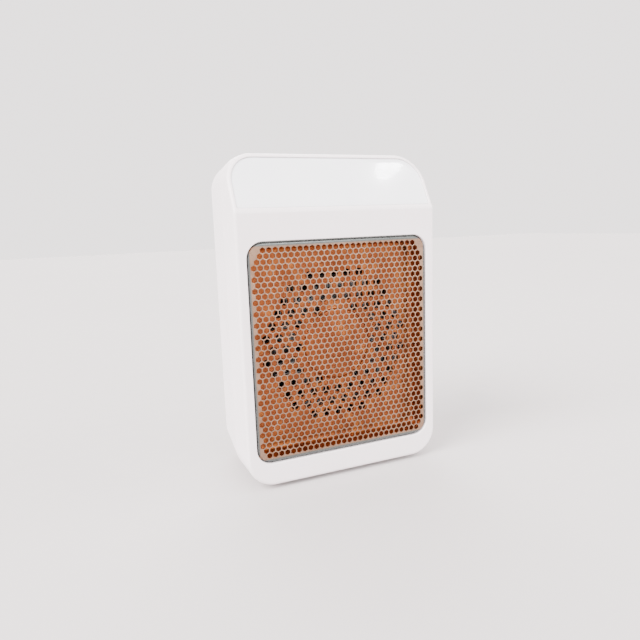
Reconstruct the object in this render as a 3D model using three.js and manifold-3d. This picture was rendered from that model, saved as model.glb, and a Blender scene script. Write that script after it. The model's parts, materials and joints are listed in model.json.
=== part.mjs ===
// A plug-in ceramic wall heater: it hangs on a wall outlet by the plug on its back.
// Units are millimetres. +Z is up, -Y is the front, +Y is the wall.
// The origin is the centre of the plug's seat, on the plane that meets the outlet.
import * as THREE from 'three';
import { mergeVertices } from 'three/addons/utils/BufferGeometryUtils.js';
import Module from 'manifold-3d';

const wasm = await Module();
wasm.setup();

// ---- driving dimensions ----
const WIDTH = 106;
const HEIGHT = 160;
const PLUG_BELOW_TOP = 25.5;
const FRONT_Y = -60;
const SEAM_Y = -38;
const BACK_Y = -3;
const CORNER_R = 14;
const WALL = 2.2;
const FRONT_WALL = 2.4;
const FRONT_EDGE_R = 1.8;
const BACK_EDGE_R = 2;
const SIDE_DRAFT = 3.7;
const END_DRAFT = 1.5;
const GAP = 0.3;
const ARC_STEPS = 5;

const TOP_Z = PLUG_BELOW_TOP;
const BOTTOM_Z = TOP_Z - HEIGHT;
const BODY_Z = (TOP_Z + BOTTOM_Z) / 2;

// The control panel lies on a plane that leans back above the crease.
const PANEL_RISE = 27.5;
const PANEL_RECEDE = 15;
const CREASE_Z = TOP_Z - PANEL_RISE;
const SLOPE_LENGTH = Math.hypot(PANEL_RISE, PANEL_RECEDE);
const SLOPE_ANGLE = Math.atan2(PANEL_RISE, PANEL_RECEDE);
const PANEL_THICK = 1.8;
const PANEL_SINK = 0.4;
const PANEL_RIM = 2;
const PANEL_FLOOR = 4.2;
const TOUCH_X = [-27, -17, -7];
const DISPLAY_X = [10, 33];

// The outlet grille and the parts stacked behind it share one centre line.
const WINDOW_W = 96.6;
const WINDOW_H = 107.6;
const WINDOW_R = 8;
const WINDOW_MARGIN = 11.4;
const WINDOW_Z = BOTTOM_Z + WINDOW_MARGIN + WINDOW_H / 2;
const GRILLE_Y = FRONT_Y + 0.7;
const GRILLE_T = 0.7;
const GRILLE_LIP = 1.5;
const GRILLE_CELL = 3.8;
const GRILLE_PITCH = 8.6;
const GRILLE_ROWS = 13;
const GRILLE_COLUMNS = 11;
const TRAY_Y = -56.3;
const TRAY_FLOOR_Y = -50.2;
const TRAY_T = 1.2;
const HUB_R = 17.6;
const HUB_RISE = 1.2;
const RING_R = 38.6;
const TRAY_PITCH = 6.9;
const TRAY_HOLE_R = 1.9;

const ELEMENT_HALF = 32;
const ELEMENT_Y0 = -43.9;
const ELEMENT_Y1 = -31.2;
const ELECTRODE_T = 0.6;
const STONE_T = 2.4;
const FIN_H = 17.9;
const FIN_Y0 = -43.5;
const FIN_Y1 = -31.5;
const FIN_CELLS = 17;
const DUCT_Y = -30.9;
const DUCT_R = 28.5;
const FAN_R = 27.3;
const FAN_HUB_R = 14;
const FAN_BLADES = 7;
const FAN_Y = -23.5;
const MOTOR_R = 11.5;
const MOTOR_WALL = 0.8;
const MOTOR_Y0 = -25.5;
const MOTOR_Y1 = -9;
const SHAFT_R = 1;

const TURRET_R = 18;
const BLADE_SPACING = 12.7;
const BLADE_T = 1.5;
const BLADE_REACH = 16.7;
const BLADE_ROOT = -10.2;
const LIVE_H = 6.35;
const NEUTRAL_H = 7.94;

const SCREW_X = 38;
const SCREW_TOP_Z = 12;
const SCREW_BOTTOM_Z = BOTTOM_Z + 8;
const FAN_SCREW = 38.5;
const RETAINER_SCREW_X = 29;
const BUMPER_X = 32;
const BUMPER_Z = BOTTOM_Z + 20.5;
const SWITCH_Y = -21;
const SWITCH_Z = -5;
const BOARD_POSTS = [[-27, -17], [27, -17], [-27, 16], [27, 16]];

// ---- materials ----
function finish(color, roughness, metalness = 0) {
  return () => new THREE.MeshStandardMaterial({ color, roughness, metalness });
}
const whiteShell = finish(0xece6e6, 0.45);
const whiteGloss = finish(0xf3f4f6, 0.08);
const satinSteel = finish(0xb9b6ae, 0.35, 1);
const copperOrange = finish(0xd8702c, 0.35, 0.6);
const aluminium = finish(0xc4c6c8, 0.4, 1);
const ceramic = finish(0x9a8f86, 0.8);
const brass = finish(0xc9a84c, 0.3, 1);
const nickel = finish(0xcfcbc2, 0.25, 1);
const blackPlastic = finish(0x1d1d1f, 0.5);
const phenolic = finish(0xe9dfc8, 0.7);
const boardGreen = finish(0x1f6b3c, 0.5);
const rubber = finish(0x2b2b2d, 0.9);
const zinc = finish(0xa8abb0, 0.35, 1);
const relayBlue = finish(0x2f5fa8, 0.4);

// ---- geometry helpers ----
function solid(geometry) {
  const bare = geometry.clone();
  bare.deleteAttribute('normal');
  bare.deleteAttribute('uv');
  const merged = mergeVertices(bare, 1e-4);
  return new wasm.Manifold(new wasm.Mesh({
    numProp: 3,
    vertProperties: new Float32Array(merged.attributes.position.array),
    triVerts: new Uint32Array(merged.index.array),
  }));
}

function geometryOf(body) {
  const mesh = body.getMesh();
  const geometry = new THREE.BufferGeometry();
  geometry.setAttribute('position', new THREE.BufferAttribute(new Float32Array(mesh.vertProperties), 3));
  geometry.setIndex(new THREE.BufferAttribute(new Uint32Array(mesh.triVerts), 1));
  geometry.computeVertexNormals();
  return geometry;
}

function join(bodies) {
  return bodies.reduce((sum, body) => sum.add(body));
}

function box(x0, x1, y0, y1, z0, z1) {
  const geometry = new THREE.BoxGeometry(x1 - x0, y1 - y0, z1 - z0);
  return solid(geometry.translate((x0 + x1) / 2, (y0 + y1) / 2, (z0 + z1) / 2));
}

function roundY(radius, y0, y1, x, z, sides = 24, backRadius = radius) {
  const geometry = new THREE.CylinderGeometry(backRadius, radius, y1 - y0, sides);
  return solid(geometry.translate(x, (y0 + y1) / 2, z));
}

function roundedRect(width, height, radius) {
  const shape = new THREE.Shape();
  const x = width / 2 - radius;
  const y = height / 2 - radius;
  shape.absarc(x, y, radius, 0, Math.PI / 2, false);
  shape.absarc(-x, y, radius, Math.PI / 2, Math.PI, false);
  shape.absarc(-x, -y, radius, Math.PI, 1.5 * Math.PI, false);
  shape.absarc(x, -y, radius, 1.5 * Math.PI, 2 * Math.PI, false);
  return shape;
}

// A prism of an X-Z outline that runs from y0 to y1.
function prismY(shape, y0, y1, centreZ = 0, curveSegments = ARC_STEPS) {
  const geometry = new THREE.ExtrudeGeometry(shape, { depth: y1 - y0, bevelEnabled: false, curveSegments });
  const turn = new THREE.Matrix4().makeBasis(
    new THREE.Vector3(1, 0, 0), new THREE.Vector3(0, 0, 1), new THREE.Vector3(0, -1, 0));
  return solid(geometry.applyMatrix4(turn).translate(0, y1, centreZ));
}

// A prism of a Y-Z outline that runs from x0 to x1.
function prismX(shape, x0, x1) {
  const options = { depth: x1 - x0, bevelEnabled: false, curveSegments: 8 };
  const geometry = new THREE.ExtrudeGeometry(shape, options);
  const turn = new THREE.Matrix4().makeBasis(
    new THREE.Vector3(0, 1, 0), new THREE.Vector3(0, 0, 1), new THREE.Vector3(1, 0, 0));
  return solid(geometry.applyMatrix4(turn).translate(x0, 0, 0));
}

function polygon(points) {
  return new THREE.Shape(points.map(([a, b]) => new THREE.Vector2(a, b)));
}

// A closed body through rounded rectangles at increasing y, all on one centre height.
function loft(sections, centreZ) {
  const positions = [];
  const index = [];
  const rings = sections.map(({ y, w, h, r }) => {
    const points = roundedRect(w, h, r).getPoints(ARC_STEPS).slice(0, -1);
    return points.map((p) => [p.x, y, p.y + centreZ]);
  });
  const count = rings[0].length;
  rings.forEach((ring) => ring.forEach((p) => positions.push(...p)));
  for (let k = 0; k + 1 < rings.length; k += 1) {
    for (let i = 0; i < count; i += 1) {
      const a = k * count + i;
      const b = k * count + (i + 1) % count;
      index.push(a, a + count, b, b, a + count, b + count);
    }
  }
  for (let i = 1; i + 1 < count; i += 1) {
    index.push(0, i, i + 1);
    const last = (rings.length - 1) * count;
    index.push(last, last + i + 1, last + i);
  }
  const geometry = new THREE.BufferGeometry();
  geometry.setAttribute('position', new THREE.Float32BufferAttribute(positions, 3));
  geometry.setIndex(index);
  return solid(geometry);
}

// Sections that round a plate's edge over: y grows from the face to the full outline.
function roundedEdge(faceY, radius, direction, w, h, r, steps = 3) {
  const sections = [];
  for (let k = 0; k <= steps; k += 1) {
    const angle = (k / steps) * Math.PI / 2;
    const inset = radius * (1 - Math.sin(angle));
    const y = faceY + direction * radius * (1 - Math.cos(angle));
    sections.push({ y, w: w - 2 * inset, h: h - 2 * inset, r: r - inset });
  }
  return direction > 0 ? sections : sections.reverse();
}

// A point on the leaning plane: s up the slope from the crease, d below its surface.
function onSlope(s, d) {
  const y = FRONT_Y + s * Math.cos(SLOPE_ANGLE) + d * Math.sin(SLOPE_ANGLE);
  const z = CREASE_Z + s * Math.sin(SLOPE_ANGLE) - d * Math.cos(SLOPE_ANGLE);
  return [y, z];
}

function slopeSlab(x0, x1, s0, s1, d0, d1) {
  return prismX(polygon([onSlope(s0, d0), onSlope(s0, d1), onSlope(s1, d1), onSlope(s1, d0)]), x0, x1);
}

function tube(points, radius, sides = 6, steps = 14) {
  const path = new THREE.CatmullRomCurve3(points.map((p) => new THREE.Vector3(...p)));
  const section = new THREE.Shape();
  section.absarc(0, 0, radius, 0, 2 * Math.PI, false);
  return solid(new THREE.ExtrudeGeometry(section, {
    steps, curveSegments: sides / 2, extrudePath: path, bevelEnabled: false,
  }));
}

const heater = new THREE.Group();

function piece(name, body, material, parent = heater) {
  const geometry = body.isBufferGeometry ? body : geometryOf(body);
  const mesh = new THREE.Mesh(geometry, material());
  mesh.name = name;
  parent.add(mesh);
  return mesh;
}

const corners = [[-1, -1], [1, -1], [-1, 1], [1, 1]];

// ---- front bezel, control panel ----
function frontBezel() {
  const straight = roundedEdge(FRONT_Y, FRONT_EDGE_R, 1, WIDTH, HEIGHT, CORNER_R);
  const outer = loft([...straight, { y: SEAM_Y, w: WIDTH, h: HEIGHT, r: CORNER_R }], BODY_Z);
  const inside = { w: WIDTH - 2 * WALL, h: HEIGHT - 2 * WALL, r: CORNER_R - WALL };
  const cavity = loft([{ y: FRONT_Y + FRONT_WALL, ...inside }, { y: SEAM_Y + 1, ...inside }], BODY_Z);
  const past = SLOPE_LENGTH + 12;
  const inFront = prismX(polygon([
    onSlope(0, 0), onSlope(past, 0), [FRONT_Y - 5, onSlope(past, 0)[1]], [FRONT_Y - 5, CREASE_Z],
  ]), -WIDTH, WIDTH);
  const underPanel = slopeSlab(-WIDTH, WIDTH, -12, past, -12, PANEL_FLOOR);
  const seatRim = PANEL_RIM - GAP;
  const seatOutline = roundedRect(WIDTH - 2 * seatRim, HEIGHT - 2 * seatRim, CORNER_R - seatRim);
  const seat = slopeSlab(-WIDTH, WIDTH, PANEL_RIM - GAP, past, -1, PANEL_SINK + PANEL_THICK + GAP)
    .intersect(prismY(seatOutline, FRONT_Y - 1, SEAM_Y, BODY_Z));
  const windowCut = prismY(roundedRect(WINDOW_W, WINDOW_H, WINDOW_R), FRONT_Y - 1, FRONT_Y + 5, WINDOW_Z);
  const displayCut = slopeSlab(DISPLAY_X[0] - 0.5, DISPLAY_X[1] + 0.5, 9.5, 20.5, 1, PANEL_FLOOR + 2);
  let body = outer.subtract(inFront).subtract(cavity.subtract(underPanel)).subtract(seat);
  body = body.subtract(windowCut).subtract(displayCut);
  for (const x of TOUCH_X) body = body.subtract(slopeSlab(x - 4.5, x + 4.5, 10.5, 19.5, 1, PANEL_FLOOR + 2));
  for (const side of [-1, 1]) {
    const x = side * SCREW_X;
    const lower = roundY(3.4, -54.5, SEAM_Y - GAP, x, SCREW_BOTTOM_Z, 12)
      .add(box(x - 1.5, x + 1.5, -54.5, SEAM_Y - 4, BOTTOM_Z + 1, SCREW_BOTTOM_Z));
    const upper = roundY(3.4, -47.9, SEAM_Y - GAP, x, SCREW_TOP_Z, 12);
    body = body.add(lower).add(upper);
    body = body.subtract(roundY(1.7, -48, SEAM_Y + 1, x, SCREW_BOTTOM_Z, 8));
    body = body.subtract(roundY(1.7, -46.6, SEAM_Y + 1, x, SCREW_TOP_Z, 8));
  }
  return body;
}

function controlPanel() {
  const outline = roundedRect(WIDTH - 2 * PANEL_RIM, HEIGHT - 2 * PANEL_RIM, CORNER_R - PANEL_RIM);
  return slopeSlab(-WIDTH, WIDTH, PANEL_RIM, SLOPE_LENGTH + 12, PANEL_SINK, PANEL_SINK + PANEL_THICK)
    .intersect(prismY(outline, FRONT_Y - 1, SEAM_Y, BODY_Z));
}

// ---- grille and the tray behind it ----
const GRILLE_W = WINDOW_W - 0.8;
const GRILLE_H = WINDOW_H - 0.8;
const GRILLE_R = WINDOW_R - 0.4;
const LIP_W = WINDOW_W + 2 * GRILLE_LIP;
const LIP_H = WINDOW_H + 2 * GRILLE_LIP;
const LIP_R = WINDOW_R + GRILLE_LIP;

function hexagon(acrossFlats) {
  const radius = acrossFlats / Math.sqrt(3);
  const points = [];
  for (let k = 0; k < 6; k += 1) {
    const angle = (k + 0.5) * Math.PI / 3;
    points.push([radius * Math.cos(angle), radius * Math.sin(angle)]);
  }
  return points;
}

function grilleMesh() {
  const backY = FRONT_Y + FRONT_WALL + GAP + GRILLE_T;
  const shoulder = 1.8;
  const outer = loft([
    ...roundedEdge(GRILLE_Y, shoulder, 1, GRILLE_W, GRILLE_H, GRILLE_R),
    { y: backY, w: GRILLE_W, h: GRILLE_H, r: GRILLE_R },
  ], WINDOW_Z);
  const w = GRILLE_W - 2 * GRILLE_T;
  const h = GRILLE_H - 2 * GRILLE_T;
  const r = GRILLE_R - GRILLE_T;
  const inner = loft([
    ...roundedEdge(GRILLE_Y + GRILLE_T, shoulder - GRILLE_T, 1, w, h, r, 2),
    { y: backY + 1, w, h, r },
  ], WINDOW_Z);
  const lip = prismY(roundedRect(LIP_W, LIP_H, LIP_R), backY - GRILLE_T, backY, WINDOW_Z);
  const rise = GRILLE_PITCH * Math.sqrt(3) / 2;
  const cells = [];
  for (let row = 0; row < GRILLE_ROWS; row += 1) {
    const z = WINDOW_Z + (row - (GRILLE_ROWS - 1) / 2) * rise;
    const columns = GRILLE_COLUMNS - row % 2;
    for (let column = 0; column < columns; column += 1) {
      const x = (column - (columns - 1) / 2) * GRILLE_PITCH;
      const cell = hexagon(GRILLE_CELL).map(([a, b]) => [a + x, b]);
      cells.push(prismY(polygon(cell), GRILLE_Y - 1, GRILLE_Y + GRILLE_T + 0.6, z));
    }
  }
  return outer.add(lip).subtract(inner).subtract(join(cells));
}

function diffuserTray() {
  const mouth = { w: WINDOW_W - 3.4, h: WINDOW_H - 3.4, r: 6 };
  const floor = { w: WINDOW_W - 8, h: WINDOW_H - 8, r: 4.5 };
  const grown = (section, y) => ({
    y, w: section.w + 2 * TRAY_T, h: section.h + 2 * TRAY_T, r: section.r + TRAY_T,
  });
  const outer = loft([grown(mouth, TRAY_Y + 0.2), grown(floor, TRAY_FLOOR_Y + TRAY_T)], WINDOW_Z);
  const lip = prismY(roundedRect(LIP_W, LIP_H, LIP_R), TRAY_Y, TRAY_Y + TRAY_T, WINDOW_Z);
  const inner = loft([{ y: TRAY_Y - 0.1, ...mouth }, { y: TRAY_FLOOR_Y, ...floor }], WINDOW_Z);
  const hub = roundY(HUB_R, TRAY_FLOOR_Y - HUB_RISE, TRAY_FLOOR_Y + 0.2, 0, WINDOW_Z, 36);
  return outer.add(lip).subtract(inner).add(hub).subtract(join(trayHoles()));
}

// Round holes on a triangular grid that fill a ring around the tray's hub.
function trayHoles() {
  const rise = TRAY_PITCH * Math.sqrt(3) / 2;
  const holes = [];
  for (let row = -6; row <= 6; row += 1) {
    for (let column = -6; column <= 6; column += 1) {
      const x = (column + (row % 2) / 2) * TRAY_PITCH;
      const reach = Math.hypot(x, row * rise);
      if (reach < HUB_R + TRAY_HOLE_R + 0.6 || reach > RING_R) continue;
      holes.push(roundY(TRAY_HOLE_R, TRAY_FLOOR_Y - 1, TRAY_FLOOR_Y + 3, x, WINDOW_Z + row * rise, 6));
    }
  }
  return holes;
}

// ---- heating element ----
function elementFrame() {
  const outer = ELEMENT_HALF + 2.8;
  const z = WINDOW_Z;
  let body = box(-outer, outer, ELEMENT_Y0, ELEMENT_Y1, z - outer, z + outer);
  body = body.subtract(box(-ELEMENT_HALF, ELEMENT_HALF, -50, -25, z - ELEMENT_HALF, z + ELEMENT_HALF));
  for (const level of electrodeLevels()) {
    body = body.subtract(box(30, 40, -40.5, -33.5, level - GAP, level + ELECTRODE_T + GAP));
  }
  return body;
}

// The stack repeats: fins, electrode, ceramic stones, electrode, and ends with fins.
const LAYER_H = FIN_H + 2 * ELECTRODE_T + STONE_T + 4 * GAP;
function finLevel(k) {
  return WINDOW_Z - ELEMENT_HALF + GAP + k * LAYER_H;
}
function electrodeLevels() {
  const levels = [];
  for (const k of [0, 1]) {
    const lower = finLevel(k) + FIN_H + GAP;
    levels.push(lower, lower + ELECTRODE_T + STONE_T + 2 * GAP);
  }
  return levels;
}

function finPack(z0) {
  const half = ELEMENT_HALF - GAP;
  const rail = 0.7;
  const sheet = 0.5;
  const lean = 0.6;
  const pitch = (2 * half - 2 * rail) / FIN_CELLS;
  const slots = [];
  for (let k = 0; k < FIN_CELLS; k += 1) {
    const left = -half + rail + k * pitch + sheet / 2;
    const right = left + pitch - sheet;
    const [topLeft, topRight] = k % 2 ? [left, right - lean] : [left + lean, right];
    const outline = polygon([[left, rail], [right, rail], [topRight, FIN_H - rail], [topLeft, FIN_H - rail]]);
    slots.push(prismY(outline, FIN_Y0 - 1, FIN_Y1 + 1, z0));
  }
  return box(-half, half, FIN_Y0, FIN_Y1, z0, z0 + FIN_H).subtract(join(slots));
}

// ---- fan ----
function fanDuct() {
  const z = WINDOW_Z;
  const half = 42;
  const plate = box(-half, half, DUCT_Y, DUCT_Y + 2, z - half, z + half);
  const ring = roundY(DUCT_R + 2, DUCT_Y + 0.5, -13, 0, z, 40);
  let body = plate.add(ring).subtract(roundY(DUCT_R, DUCT_Y - 1, -12, 0, z, 40));
  for (const angle of [90, 210, 330]) {
    const arm = box(12.5, DUCT_R + 1, -15, -12.6, -1.6, 1.6);
    body = body.add(arm.rotate([0, angle, 0]).translate([0, 0, z]));
  }
  const cup = roundY(MOTOR_R + 2, -16, -11, 0, z, 28).subtract(roundY(MOTOR_R + GAP, -17, -10, 0, z, 28));
  body = body.add(cup);
  for (const [sx, sz] of corners) {
    body = body.subtract(roundY(1.7, DUCT_Y - 1, -20, sx * FAN_SCREW, z + sz * FAN_SCREW, 10));
  }
  return body;
}

function impeller() {
  let blades = null;
  for (let k = 0; k < FAN_BLADES; k += 1) {
    const blade = box(12.8, FAN_R + 2, -7.5, 7.5, -0.65, 0.65)
      .rotate([-48, 0, 0])
      .rotate([0, (360 * k) / FAN_BLADES, 0]);
    blades = blades ? blades.add(blade) : blade;
  }
  const sweep = roundY(FAN_R, -5.2, 5.2, 0, 0, 40).subtract(roundY(FAN_HUB_R - 1, -6, 6, 0, 0, 28));
  let body = blades.intersect(sweep).translate([0, FAN_Y, 0]);
  const hub = roundY(FAN_HUB_R, -29, -17.5, 0, 0, 28).subtract(roundY(MOTOR_R + 0.8, -27, -17, 0, 0, 28));
  body = body.add(hub).add(roundY(3, -28, -26, 0, 0, 16));
  body = body.subtract(roundY(SHAFT_R + 0.15, -28.2, -25, 0, 0, 16));
  return body.translate([0, 0, WINDOW_Z]);
}

function motorCan() {
  const shell = roundY(MOTOR_R, MOTOR_Y0, MOTOR_Y1, 0, WINDOW_Z, 28);
  const hollow = roundY(MOTOR_R - MOTOR_WALL, MOTOR_Y0 + MOTOR_WALL, MOTOR_Y1 + 1, 0, WINDOW_Z, 28);
  const shaftHole = roundY(SHAFT_R + 0.4, MOTOR_Y0 - 0.5, MOTOR_Y0 + 1.5, 0, WINDOW_Z, 16);
  return shell.subtract(hollow).subtract(shaftHole);
}

// ---- plug turret ----
function turret() {
  const z = 0;
  const seatEdge = 1.2;
  let body = roundY(TURRET_R, -6, -seatEdge, 0, z, 40)
    .add(roundY(TURRET_R, -seatEdge, 0, 0, z, 40, TURRET_R - seatEdge))
    .add(roundY(TURRET_R + 2.5, -7.6, BACK_Y - WALL - GAP, 0, z, 40));
  for (const [side, height] of [[1, LIVE_H], [-1, NEUTRAL_H]]) {
    const x = side * BLADE_SPACING / 2;
    const halfX = BLADE_T / 2 + 0.15;
    const halfZ = height / 2 + 0.15;
    body = body.subtract(box(x - halfX, x + halfX, -9, 1, -halfZ, halfZ));
  }
  return body;
}

function plugBlade(side, height) {
  const x = side * BLADE_SPACING / 2;
  const half = height / 2;
  const shape = polygon([
    [BLADE_ROOT, -half], [BLADE_REACH - 1.6, -half], [BLADE_REACH, 1.4 - half],
    [BLADE_REACH, half - 1.4], [BLADE_REACH - 1.6, half], [BLADE_ROOT, half],
  ]);
  const eye = new THREE.Path();
  eye.absarc(11.9, 0, 1.6, 0, 2 * Math.PI, true);
  shape.holes.push(eye);
  return prismX(shape, x - BLADE_T / 2, x + BLADE_T / 2);
}

function turretRetainer() {
  let body = roundY(21, -9.9, -7.9, 0, 0, 28).add(box(-33, 33, -9.9, -7.9, -4.5, 4.5));
  body = body.subtract(roundY(12, -11, -7, 0, 0, 20));
  for (const side of [-1, 1]) body = body.subtract(roundY(1.6, -11, -7, side * RETAINER_SCREW_X, 0, 10));
  return body;
}

// A half ring of brass that the blade's tail slides on as the turret turns.
function slipContact(side) {
  const ring = roundY(9.5, -11.2, -10.5, 0, 0, 32).subtract(roundY(3.4, -12, -10, 0, 0, 24));
  const half = side > 0 ? box(1, 12, -12, -10, -12, 12) : box(-12, -1, -12, -10, -12, 12);
  const tail = box(side * 7 - 1.5, side * 7 + 1.5, -11.2, -10.5, 5, 19);
  const riser = box(side * 7 - 1.5, side * 7 + 1.5, -22, -10.5, 18.3, 19);
  return ring.intersect(half).add(tail).add(riser);
}

// ---- rear housing ----
function rearHousing() {
  const backW = WIDTH - 2 * SIDE_DRAFT;
  const backH = HEIGHT - 2 * END_DRAFT;
  const outer = loft([
    { y: SEAM_Y + GAP, w: WIDTH, h: HEIGHT, r: CORNER_R },
    ...roundedEdge(BACK_Y, BACK_EDGE_R, -1, backW, backH, CORNER_R),
  ], BODY_Z);
  const cavity = loft([
    { y: SEAM_Y - 1, w: WIDTH - 2 * WALL, h: HEIGHT - 2 * WALL, r: CORNER_R - WALL },
    { y: BACK_Y - WALL, w: backW - 2 * WALL, h: backH - 2 * WALL, r: CORNER_R - WALL },
  ], BODY_Z);
  const tongueOuter = WALL + GAP;
  const tongueInner = tongueOuter + 1.3;
  const ring = (inset, y0, y1) => prismY(
    roundedRect(WIDTH - 2 * inset, HEIGHT - 2 * inset, CORNER_R - inset), y0, y1, BODY_Z);
  let tongue = ring(tongueOuter, SEAM_Y - 3, SEAM_Y + 3).subtract(ring(tongueInner, SEAM_Y - 4, SEAM_Y + 4));
  const posts = [];
  const bores = [];
  for (const side of [-1, 1]) {
    for (const z of [SCREW_TOP_Z, SCREW_BOTTOM_Z]) {
      tongue = tongue.subtract(roundY(4.2, SEAM_Y - 4, SEAM_Y + GAP, side * SCREW_X, z, 12));
      posts.push(roundY(4, SEAM_Y + GAP, BACK_Y - 1, side * SCREW_X, z, 12));
      bores.push(roundY(1.8, SEAM_Y - 1, BACK_Y + 1, side * SCREW_X, z, 8));
      bores.push(roundY(3.2, -24, BACK_Y + 1, side * SCREW_X, z, 12));
    }
    tongue = tongue.subtract(box(side * SCREW_X - 2.2, side * SCREW_X + 2.2,
      SEAM_Y - 4, SEAM_Y + GAP, BOTTOM_Z, SCREW_BOTTOM_Z));
    posts.push(roundY(3, -7.6, BACK_Y - 1, side * RETAINER_SCREW_X, 0, 10));
    bores.push(roundY(1.4, -9, BACK_Y - 1.4, side * RETAINER_SCREW_X, 0, 8));
    bores.push(roundY(5.3, BACK_Y - 1, BACK_Y + 1, side * BUMPER_X, BUMPER_Z, 20));
  }
  for (const [sx, sz] of corners) {
    const [x, z] = [sx * FAN_SCREW, WINDOW_Z + sz * FAN_SCREW];
    posts.push(roundY(3, DUCT_Y + 2 + GAP, BACK_Y - 1, x, z, 8));
    bores.push(roundY(1.5, DUCT_Y, -19, x, z, 8));
  }
  for (const [x, z] of BOARD_POSTS) {
    posts.push(roundY(2.4, -24.7, BACK_Y - 1, x, z, 8));
    bores.push(roundY(1.3, -26, -16, x, z, 8));
  }
  const pad = box(46.3, 50.5, -29, -13, -15, 5);
  const pocket = box(49.3, 56, SWITCH_Y - 5.8, SWITCH_Y + 5.8, SWITCH_Z - 7.8, SWITCH_Z + 7.8);
  const through = box(40, 50, SWITCH_Y - 4.8, SWITCH_Y + 4.8, SWITCH_Z - 6.8, SWITCH_Z + 6.8);
  let body = outer.subtract(cavity).add(tongue).add(join(posts)).add(pad.intersect(outer));
  body = body.subtract(join(bores)).subtract(pocket).subtract(through);
  body = body.subtract(roundY(TURRET_R + GAP, BACK_Y - WALL - 1, BACK_Y + 1, 0, 0, 40));
  return body.subtract(inletSlots());
}

// Horizontal air inlet slots that fill a circle behind the fan, split by a middle rib.
function inletSlots() {
  const slots = [];
  const slotH = 2.2;
  const pitch = 4.4;
  const reach = 30;
  for (let k = -6; k <= 6; k += 1) {
    const z = k * pitch;
    const half = Math.sqrt(reach * reach - z * z);
    for (const side of [-1, 1]) {
      const [a, b] = side < 0 ? [-half, -1.4] : [1.4, half];
      slots.push(box(a, b, BACK_Y - WALL - 1, BACK_Y + 1,
        WINDOW_Z + z - slotH / 2, WINDOW_Z + z + slotH / 2));
    }
  }
  return join(slots);
}

// ---- switch ----
function switchFrame() {
  const flange = box(49.6, 51.1, SWITCH_Y - 5.5, SWITCH_Y + 5.5, SWITCH_Z - 7.5, SWITCH_Z + 7.5);
  const barrel = box(38, 50, SWITCH_Y - 4.5, SWITCH_Y + 4.5, SWITCH_Z - 6.5, SWITCH_Z + 6.5);
  const well = box(44.5, 53, SWITCH_Y - 3.7, SWITCH_Y + 3.7, SWITCH_Z - 5.7, SWITCH_Z + 5.7);
  return flange.add(barrel).subtract(well);
}

function rocker() {
  const shape = polygon([[-5.1, 3.4], [0, 2.2], [5.1, 3.4], [5.1, 1], [2.5, -2.6], [-2.5, -2.6], [-5.1, 1]]);
  const geometry = new THREE.ExtrudeGeometry(shape, { depth: 6.8, bevelEnabled: false });
  const turn = new THREE.Matrix4().makeBasis(
    new THREE.Vector3(0, 0, 1), new THREE.Vector3(1, 0, 0), new THREE.Vector3(0, 1, 0));
  return solid(geometry.applyMatrix4(turn).translate(0, -3.4, 0));
}

// ---- fasteners ----
// A pan head seated at yHead, whose shank runs to yTip.
function screwAt(x, z, yHead, yTip, headR, shankR) {
  const headT = 1.5;
  const outward = yHead > yTip ? 1 : -1;
  const crown = headR * 0.75;
  const head = outward > 0
    ? roundY(headR, yHead, yHead + headT, x, z, 12, crown)
    : roundY(crown, yHead - headT, yHead, x, z, 12, headR);
  const root = yHead + outward * headT / 2;
  return head.add(roundY(shankR, Math.min(root, yTip), Math.max(root, yTip), x, z, 8));
}

// ---- assembly ----
piece('front_bezel', frontBezel(), whiteShell);
piece('control_panel', controlPanel(), whiteGloss);
piece('grille_mesh', grilleMesh(), satinSteel);
piece('diffuser_tray', diffuserTray(), copperOrange);
piece('rear_housing', rearHousing(), whiteShell);

piece('element_frame', elementFrame(), phenolic);
['lower', 'middle', 'upper'].forEach((level, k) => {
  piece(`fin_pack_${level}`, finPack(finLevel(k)), aluminium);
});
const stoneHalf = ELEMENT_HALF - 2;
['lower', 'upper'].forEach((level, k) => {
  const z = electrodeLevels()[2 * k] + ELECTRODE_T + GAP;
  piece(`ceramic_row_${level}`, box(-stoneHalf, stoneHalf, -42.5, -32.5, z, z + STONE_T), ceramic);
});
electrodeLevels().forEach((z, k) => {
  const plate = box(-stoneHalf, stoneHalf + 1, -43, -32, z, z + ELECTRODE_T);
  const tab = box(stoneHalf, ELEMENT_HALF + 8, -40, -34, z, z + ELECTRODE_T);
  piece(`electrode_${k + 1}`, plate.add(tab), aluminium);
});
const cutoutBody = roundY(6, -43.9, -39, -42, -52, 24);
piece('thermal_cutout', cutoutBody.add(box(-44, -40, -39.5, -36, -56, -48)), phenolic);
piece('thermal_fuse', box(-43.5, -40.5, -43.5, -40.5, -88, -78), nickel);

piece('fan_duct', fanDuct(), blackPlastic);
piece('fan_impeller', impeller(), blackPlastic);
piece('motor_can', motorCan(), zinc);
piece('motor_magnet', roundY(MOTOR_R - 1.1, -22.8, -12.5, 0, WINDOW_Z, 28)
  .subtract(roundY(8, -24, -12, 0, WINDOW_Z, 28)), ceramic);
piece('motor_armature', roundY(7.4, -22.4, -13, 0, WINDOW_Z, 24)
  .subtract(roundY(SHAFT_R + 0.15, -24, -12, 0, WINDOW_Z, 16)), zinc);
piece('motor_shaft', roundY(SHAFT_R, -28, -9.6, 0, WINDOW_Z, 16), nickel);
piece('motor_end_cap', roundY(MOTOR_R - 0.8 - GAP, -9.3, -7, 0, WINDOW_Z, 28), blackPlastic);

piece('plug_turret', turret(), whiteShell);
piece('plug_blade_live', plugBlade(1, LIVE_H), brass);
piece('plug_blade_neutral', plugBlade(-1, NEUTRAL_H), brass);
piece('turret_retainer', turretRetainer(), whiteShell);
piece('slip_contact_live', slipContact(1), brass);
piece('slip_contact_neutral', slipContact(-1), brass);

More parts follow.
